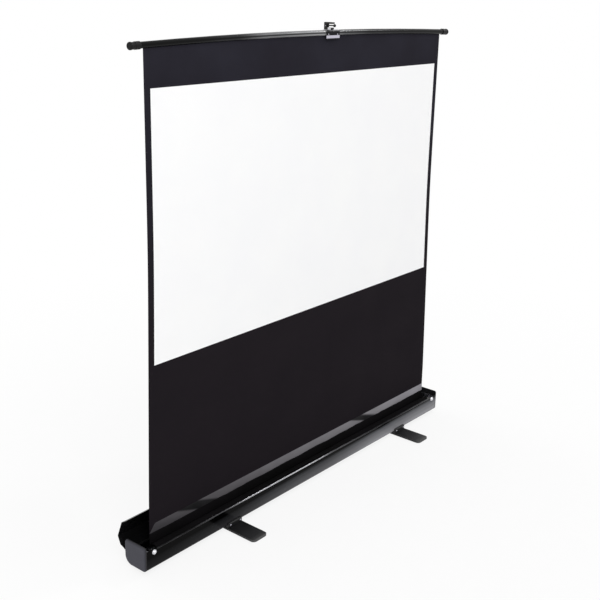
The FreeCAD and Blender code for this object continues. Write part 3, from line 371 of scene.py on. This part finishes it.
# Polished bead: a painted highlight makes a thin bright line in the middle, and it is dark towards its ends.
# Its marks are drawn 6 mm long so that they show.
BEAD = Finish("polished_aluminium_bead", (
    Band(X_AXIS, ((-0.99, "#060606"), (-0.80, "#0a0a0b"), (-0.62, "#404042"), (-0.40, "#a8a8ac"),
                  (-0.05, "#a0a0a4"), (0.15, "#3c3c3e"), (0.40, "#1e1e20"), (0.70, "#1e1e20"),
                  (0.99, "#38383a"))),
), "#8c8c90", (0.26, 0.32), Grain.POLISHED, 6.0, 0.004, metallic=1.0, drift_share=0.1)
# Rubber: matt black pads under the feet.
RUBBER = Finish("black_rubber", "#111112", "#181818", (0.75, 0.9), Grain.MOULDED, 1.2, 0.04, specular=0.3)
# Coated polyester cloth: matt black, a touch bluer and paler in the top band, and darkest with painted shade
# in the case's mouth, where it runs down to the roller. Its fine weave is drawn at 2.4 mm so that a close
# view shows it.
BLACK_CLOTH = Finish("black_coated_polyester", (
    Band(Z_AXIS, ((0.04, "#070707"), (0.124, "#080808"), (0.132, "#1c181c"), (0.84, "#1e1a1e"),
                  (1.86, "#26252d"), (2.03, "#28272f"))),
), "#1a171b", (0.82, 0.92), Grain.WOVEN, 2.4, 0.02, specular=0.05, patch_mm=260.0, drift_share=0.35)
# Matt white vinyl face with a very fine bead, drawn at 1.5 mm so that a close view shows it.
WHITE_FACE = Finish("matt_white_vinyl", "#f7f7f7", "#f5f5f6", (0.85, 0.95), Grain.EMBOSSED, 1.5, 0.01,
                    specular=0.1, patch_mm=300.0)
# Satin vinyl film over the cloth just above the case: a painted grey sheen, paler towards the right, and
# painted shade along the leaning lines where it is pinched.
LEADER_FILM = Finish("satin_vinyl_film", (
    Band((1.0, 0.0, 3.0), ((-0.50, "#3c3a3d"), (-0.34, "#4c4a4d"), (-0.31, "#080809"), (-0.22, "#080809"),
                           (-0.18, "#575558"), (0.45, "#767478"), (0.83, "#807e82"), (0.86, "#0a0a0b"),
                           (0.92, "#0a0a0b"), (0.97, "#8a888c"), (1.42, "#96949a"))),
), "#4a484c", (0.36, 0.48), Grain.ROLLED, 6.0, 0.05, specular=0.12, drift_share=0.15)
# Pale matt studio floor.
FLOOR = Finish("pale_studio_floor", "#f2f2f2", "#f0f0f0", (0.9, 0.95), Grain.EMBOSSED, 3.0, 0.005,
               specular=0.1)


def dress(finish: Finish, *nodes: str) -> None:
    """Give CAD nodes a finish.

    Args:
        finish: the material that they are made of.
        nodes: names of the nodes.
    """
    for name in nodes:
        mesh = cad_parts[name].data
        mesh.materials.clear()
        mesh.materials.append(finish.material())
        LOG.info("%s: %s", name, finish.name)


def surface(name: str, finish: Finish, columns: int, rows: int,
            shape: Callable[[float, float], Point]) -> bpy.types.Object:
    """Make a smooth grid of points as one sheet.

    Args:
        name: the object's name.
        finish: its material.
        columns: spans across.
        rows: spans along.
        shape: turns two shares from 0 to 1 into a point in metres.

    Returns:
        The linked object.
    """
    points = [shape(i / columns, j / rows) for j in range(rows + 1) for i in range(columns + 1)]
    step = columns + 1
    faces = [(j * step + i, j * step + i + 1, (j + 1) * step + i + 1, (j + 1) * step + i)
             for j in range(rows) for i in range(columns)]
    mesh = bpy.data.meshes.new(name)
    mesh.from_pydata(points, [], faces)
    mesh.polygons.foreach_set("use_smooth", [True] * len(mesh.polygons))
    mesh.materials.append(finish.material())
    made = bpy.data.objects.new(name, mesh)
    bpy.context.scene.collection.objects.link(made)
    LOG.info("%s: %d points", name, len(points))
    return made


@dataclass
class Case:
    """The long case with its caps, bead, catches, hinges and handle."""

    caps: tuple[str, ...] = ("end_cap_left", "end_cap_right")
    bright: tuple[str, ...] = ("catch_bush_left", "catch_bush_right", "catch_button_left",
                               "catch_button_right")
    painted: tuple[str, ...] = ("hinge_case_leaves", "hinge_lid_leaves")

    def build(self) -> None:
        """Dress every rigid piece of the case."""
        dress(CASE_LACQUER, "case_shell")
        dress(LID_LACQUER, "lid_shell")
        dress(ABS_GREY, *self.caps)
        dress(CHROME, *self.bright)
        dress(BEAD, "front_bead")
        dress(ZINC, "hinge_pins")
        dress(POWDER_COAT, *self.painted)
        dress(NYLON_BLACK, "lid_handle")


@dataclass
class Feet:
    """The swivelling feet and the saddles that carry the case."""

    sides: tuple[str, ...] = ("left", "right")

    def build(self) -> None:
        """Dress both feet, their pads, bolts and saddles."""
        for side in self.sides:
            dress(FOOT_BLACK, f"foot_{side}")
            dress(RUBBER, f"foot_pads_{side}")
            dress(POWDER_COAT, f"saddle_{side}")
            dress(ZINC, f"saddle_screws_{side}", f"foot_washer_{side}", f"foot_bolt_{side}")


@dataclass
class Mast:
    """The telescopic mast with its clamp collar and hook."""

    tubes: tuple[str, ...] = ("mast_lower_tube", "mast_upper_tube", "mast_base")
    moulded: tuple[str, ...] = ("mast_collar", "collar_lever")
    black: tuple[str, ...] = ("mast_hook", "hook_lever")
    pins: tuple[str, ...] = ("mast_pivot_pin", "collar_pin", "hook_lever_pin")

    def build(self) -> None:
        """Dress the tubes, collar and hook."""
        dress(MAST_ALUMINIUM, *self.tubes)
        dress(NYLON_BLACK, *self.moulded)
        dress(POWDER_COAT, *self.black)
        dress(ZINC, *self.pins)
        dress(ACETAL, "mast_glide")


@dataclass
class Screen:
    """The bar and the stretched cloth, with its white face and the film above the case.

    Its spreads and skew are for the cloth's whole height. The waves of the film's lower edge are (waves in a
    metre, offset, share of the height).
    """

    joint: str = "screen_lift"
    lift: float = 0.87
    straight_share: float = 0.1
    waist_share: float = 0.6
    waist_soft: float = 0.08
    waist_mm: float = 6.5
    foot_spread_mm: float = 54.0
    head_spread_mm: float = 17.0
    skew_mm: float = 18.0
    bar_bow_mm: float = 18.0
    swell_mm: float = 0.15
    swell_across: float = 7.0
    swell_along: float = 9.0
    columns: int = 64
    rows: int = 72
    film_waves: tuple[Point, ...] = ((9.0, 0.0, 1.0), (31.0, 4.0, 0.6))
    film_wave_mm: float = 3.0
    film_drop_mm: float = 6.0
    film_taper_mm: float = 30.0
    film_tip_share: float = 0.05
    film_columns: int = 240
    film_rows: int = 6

    def build(self) -> None:
        """Dress the bar and hang the cloth."""
        dress(BAR_LACQUER, "top_bar")
        dress(NYLON_BLACK, "bar_end_cap_left", "bar_end_cap_right")
        dress(HANGER_STEEL, "hanger_bracket")
        dress(ZINC, "hanger_rivets")
        self.cloth()
        self.face()
        self.film()

    def across(self, share: float, height: float, border: float = 0.0) -> float:
        """Place a point across the cloth, which has a waist, spreads from there and winds a little askew.

        The lowest share of its height runs straight onto the roll.

        Args:
            share: from -1 at the left-hand edge to 1 at the right-hand one.
            height: the point's height in metres.
            border: metres that are left free at either edge.

        Returns:
            The point's X in metres.
        """
        low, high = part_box("screen_fabric")
        up = (height - low.z) / (high.z - low.z)
        below = self.waist_share - min(max(up, self.straight_share), 1.0)
        foot = (math.hypot(below, self.waist_soft) + below) / 2
        spread = self.foot_spread_mm * foot + self.head_spread_mm * (foot - below) - self.waist_mm
        return share * (high.x - border + spread * MM) + self.skew_mm * foot * MM

    def hang(self, made: bpy.types.Object, node: str) -> None:
        """Put a sheet in place of its CAD solid, and hang it on the case's body.

        Args:
            made: the sheet.
            node: the CAD node that it stands for.
        """
        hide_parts(node)
        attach(made, "case")
        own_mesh(made)

    def cloth(self) -> None:
        """Hang the black cloth from the bar's slot down to the roll."""
        low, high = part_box("screen_fabric")
        bar_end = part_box("top_bar")[1].x
        rise = self.bar_bow_mm * MM
        radius = (bar_end ** 2 + rise ** 2) / (2 * rise)

        def spot(across: float, along: float) -> Point:
            """Point of the cloth at two shares."""
            x = 2 * across - 1
            top = high.z - (radius - math.sqrt(radius ** 2 - (x * high.x) ** 2))
            z = low.z + (top - low.z) * along
            swell = math.sin(self.swell_across * x + self.swell_along * along)
            return self.across(x, z), self.swell_mm * MM * swell, z

        made = surface("screen_cloth", BLACK_CLOTH, self.columns, self.rows, spot)
        self.hang(made, "screen_fabric")

    def face(self) -> None:
        """Lay the white face on the front of the cloth."""
        low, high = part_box("viewing_surface")
        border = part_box("screen_fabric")[1].x - high.x

        def spot(across: float, along: float) -> Point:
            """Point of the face at two shares."""
            z = low.z + (high.z - low.z) * along
            return self.across(2 * across - 1, z, border), low.y, z

        made = surface("white_face", WHITE_FACE, self.columns, self.rows, spot)
        self.hang(made, "viewing_surface")

    def film(self) -> None:
        """Lay the film across the foot of the cloth, its lower edge wavy and its left end cut to a point."""
        low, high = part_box("leader_strip")
        tall = high.z - low.z - self.film_drop_mm * MM

        def spot(across: float, along: float) -> Point:
            """Point of the film at two shares."""
            x = (2 * across - 1) * high.x
            wave = sum(share * noise.noise(Vector((x * waves, offset, 0)))
                       for waves, offset, share in self.film_waves)
            full = min(1.0, (x - low.x) / (self.film_taper_mm * MM) + self.film_tip_share)
            z = low.z + tall * along * full + (1 - along) * self.film_wave_mm * MM * wave
            return self.across(2 * across - 1, z), low.y, z

        made = surface("leader_film", LEADER_FILM, self.film_columns, self.film_rows, spot)
        self.hang(made, "leader_strip")


@dataclass
class Roller:
    """The spring roller with the turns of the screen's cloth left on it."""

    screen: Screen
    turns: int = 9
    steps: int = 40
    columns: int = 4
    cloth_mm: float = 0.5
    steel: tuple[str, ...] = ("roller_bracket_left", "roller_bracket_right", "bracket_screws",
                              "spring_shaft", "torsion_spring", "idler_pin")

    def build(self) -> None:
        """Dress the rigid pieces and wind the cloth."""
        dress(ZINC, *self.steel)
        dress(ROLLER_TUBE, "roller_tube")
        dress(NYLON_BLACK, "roller_plug_left", "roller_plug_right")
        dress(ACETAL, "idler_bush")
        self.wind()

    def wind(self) -> None:
        """Wind the turns as one spiral sheet, where the plain roll of the model is."""
        low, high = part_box("fabric_roll")
        centre = (low + high) / 2
        outer = (high.z - low.z) / 2
        inner = outer - self.turns * self.cloth_mm * MM

        def spiral(across: float, along: float) -> Point:
            """Point of the spiral at two shares."""
            angle = -2 * math.pi * self.turns * (1 - along)
            radius = inner + (outer - inner) * along
            x = self.screen.across(2 * across - 1, centre.z)
            return x, centre.y + radius * math.cos(angle), centre.z + radius * math.sin(angle)

        roll = surface("cloth_roll", BLACK_CLOTH, self.columns, self.turns * self.steps, spiral)
        width = self.screen.across(1.0, centre.z) - self.screen.across(-1.0, centre.z)
        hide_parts("fabric_roll")
        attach(roll, "roller")


@dataclass
class Studio:
    """Pale floor, white surroundings, soft lamps and the photograph's camera.

    Angles are in degrees. A lamp is (place, size in metres, watts). The floor turns white between the two
    distances of its fade.
    """

    place: Point = (-3.311, -2.662, 2.262)
    yaw: float = 50.55
    pitch: float = 15.23
    roll: float = -1.37
    lens_px: float = 993.9
    frame_px: float = 600.0
    centre_px: float = 250.0
    sensor_mm: float = 36.0
    sight_m: float = 200.0
    sky: float = 0.75
    floor_m: float = 60.0
    near_white: float = 0.84
    fade_m: tuple[float, float] = (1.2, 3.5)
    aim: Point = (0.0, 0.0, 0.9)
    lamps: tuple[tuple[Point, float, float], ...] = (
        ((-3.5, -4.0, 5.0), 3.0, 126.0),
        ((5.2, -1.9, 5.4), 0.7, 70.0),
        ((0.0, 5.0, 4.0), 3.0, 60.0),
    )

    def build(self) -> None:
        """Set up the camera, the surroundings, the floor and the lamps."""
        bpy.context.scene.view_settings.view_transform = "Standard"
        self.camera()
        self.surroundings()
        self.floor()
        for index, (spot, size, power) in enumerate(self.lamps):
            lamp = bpy.data.lights.new(f"softbox_{index}", "AREA")
            lamp.size = size
            lamp.energy = power
            hung = bpy.data.objects.new(lamp.name, lamp)
            hung.location = spot
            hung.rotation_mode = "QUATERNION"
            hung.rotation_quaternion = (Vector(self.aim) - Vector(spot)).to_track_quat("-Z", "Y")
            bpy.context.scene.collection.objects.link(hung)

    def camera(self) -> None:
        """Stand the camera where the photograph was taken from."""
        yaw, pitch, roll = (math.radians(angle) for angle in (self.yaw, self.pitch, self.roll))
        ahead = Vector((math.sin(yaw) * math.cos(pitch), math.cos(yaw) * math.cos(pitch), -math.sin(pitch)))
        right = Vector((math.cos(yaw), -math.sin(yaw), 0))
        down = ahead.cross(right)
        across = math.cos(roll) * right + math.sin(roll) * down
        below = math.cos(roll) * down - math.sin(roll) * right
        data = bpy.data.cameras.new("photograph")
        data.sensor_width = self.sensor_mm
        data.lens = self.lens_px * self.sensor_mm / self.frame_px
        data.shift_y = (self.centre_px - self.frame_px / 2) / self.frame_px
        data.clip_end = self.sight_m
        stand = bpy.data.objects.new("photograph", data)
        axes = Matrix((across, -below, -ahead)).transposed()
        stand.matrix_world = Matrix.Translation(self.place) @ axes.to_4x4()
        bpy.context.scene.collection.objects.link(stand)
        bpy.context.scene.camera = stand

    def white_rays(self, tree: Tree) -> Socket:
        """Give 1 for rays that show the surroundings: the camera's, and those in gloss or glass."""
        path = add(tree, "LightPath")
        seen = add(tree, "Math", {"operation": "MAXIMUM"},
                   {0: path.outputs["Is Camera Ray"], 1: path.outputs["Is Glossy Ray"]})
        return add(tree, "Math", {"operation": "MAXIMUM"},
                   {0: seen.outputs[0], 1: path.outputs["Is Transmission Ray"]}).outputs[0]

    def surroundings(self) -> None:
        """Make the world white to the eye and a little softer as light."""
        world = bpy.data.worlds.new("studio")
        world.use_nodes = True
        tree = world.node_tree
        tree.nodes.clear()
        level = add(tree, "MapRange", {"To Min": self.sky, "To Max": 1.0}, {"Value": self.white_rays(tree)})
        back = add(tree, "Background", {"Color": WHITE}, {"Strength": level.outputs[0]})
        add(tree, "OutputWorld", links={"Surface": back.outputs[0]})
        bpy.context.scene.world = world

    def floor(self) -> None:
        """Lay a pale floor that keeps a soft shadow."""
        made = surface("floor", FLOOR, 1, 1, lambda across, along: (
            self.floor_m * (across - 0.5), self.floor_m * (along - 0.5), 0.0))
        tree = made.data.materials[0].node_tree
        out = next(node for node in tree.nodes if node.type == "OUTPUT_MATERIAL")
        lit = out.inputs["Surface"].links[0].from_socket
        white = add(tree, "Emission", {"Color": WHITE, "Strength": 1.0})
        where = add(tree, "TexCoord")
        far = add(tree, "VectorMath", {"operation": "LENGTH"}, {0: where.outputs["Object"]})
        level = add(tree, "MapRange", {"From Min": self.fade_m[0], "From Max": self.fade_m[1],
                                       "To Min": self.near_white, "To Max": 1.0},
                    {"Value": far.outputs["Value"]})
        share = add(tree, "Math", {"operation": "MULTIPLY"}, {0: self.white_rays(tree), 1: level.outputs[0]})
        mix = add(tree, "MixShader", links={0: share.outputs[0], 1: lit, 2: white.outputs[0]})
        tree.links.new(mix.outputs[0], out.inputs["Surface"])


def main() -> None:
    """Build every sub-assembly in order, then the studio."""
    logging.basicConfig(level=logging.INFO, format="%(message)s")
    screen = Screen()
    for part in (Case(), Feet(), Mast(), Roller(screen), screen, Studio()):
        part.build()
        LOG.info("built %s", type(part).__name__)
    bpy.context.view_layer.update()


if __name__ == "__main__":
    main()
